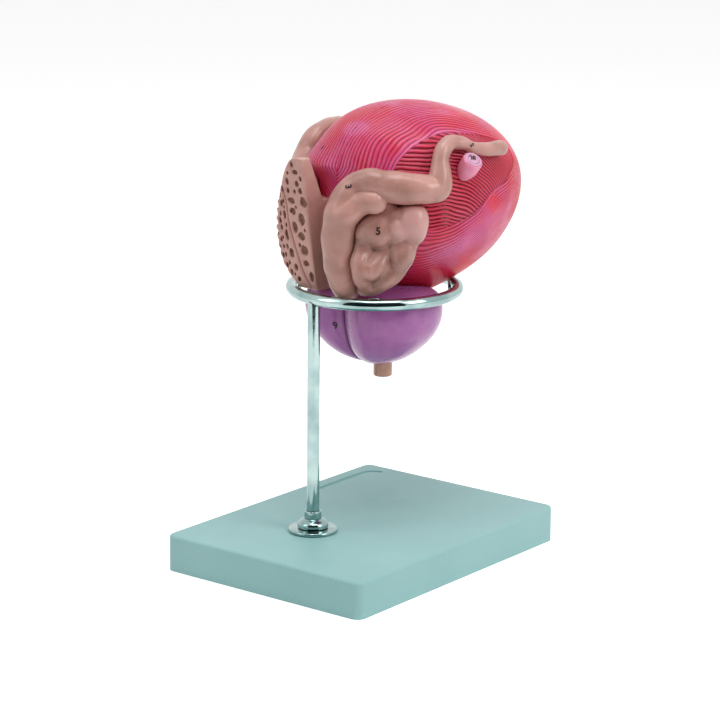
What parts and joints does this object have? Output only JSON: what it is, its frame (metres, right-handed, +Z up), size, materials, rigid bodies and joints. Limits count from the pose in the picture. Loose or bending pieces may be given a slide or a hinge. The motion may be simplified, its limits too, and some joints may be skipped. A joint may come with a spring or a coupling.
{
  "type": "bladder and prostate model",
  "caption": "Bladder and prostate in two lift-out halves with ducts, ureters and seminal vesicles, one side cut open, held in a ring on a rod and base board.",
  "frame": {"origin": "centre of the base board's underside", "axes": "+X along the board's long side, towards the side that the organ's front overhangs; +Y to the organ's left side; +Z up along the rod"},
  "size_m": [0.1949, 0.134, 0.2514],
  "materials": {
    "board": "satin",
    "pad_rubber": "matt",
    "chrome": "polished",
    "muscle": "hand painted, lacquered",
    "lining": "hand painted, lacquered",
    "prostate": "hand painted, lacquered",
    "gland": "hand painted, lacquered",
    "urethra": "hand painted, lacquered",
    "ureter": "hand painted, lacquered",
    "magnet": "nickel plated"
  },
  "bodies": {
    "stand": {"base_board": "board", "domed_nut": "chrome", "flange_washer": "chrome", "grip_pad_1": "pad_rubber", "grip_pad_2": "pad_rubber", "grip_pad_3": "pad_rubber", "grip_pad_4": "pad_rubber", "hexagon_nut": "chrome", "ring_lug_1": "chrome", "ring_lug_2": "chrome", "ring_lug_3": "chrome", "ring_lug_4": "chrome", "rod": "chrome", "rod_collar": "chrome", "support_ring": "chrome", "under_washer": "chrome"},
    "right_half": {"right_ampulla": "gland", "right_bladder_lining": "lining", "right_bladder_wall": "muscle", "right_deferent_duct": "gland", "right_magnet_front": "magnet", "right_magnet_rear": "magnet", "right_magnet_top": "magnet", "right_prostate_lobe": "prostate", "right_seminal_vesicle": "gland", "right_ureter": "ureter", "right_urethra": "urethra"},
    "left_half": {"left_ampulla_section": "gland", "left_bladder_lining": "lining", "left_bladder_wall": "muscle", "left_deferent_duct": "gland", "left_magnet_front": "magnet", "left_magnet_rear": "magnet", "left_magnet_top": "magnet", "left_prostate_lobe": "prostate", "left_ureter": "ureter", "left_urethra": "urethra", "left_vesicle_section": "gland"}
  },
  "joints": [
    {"name": "right_half_lift", "type": "slide", "parent": "stand", "child": "right_half", "axis": [0, 0, 1], "range_m": [0, 0.12]},
    {"name": "left_half_lift", "type": "slide", "parent": "stand", "child": "left_half", "axis": [0, 0, 1], "range_m": [0, 0.12]}
  ]
}
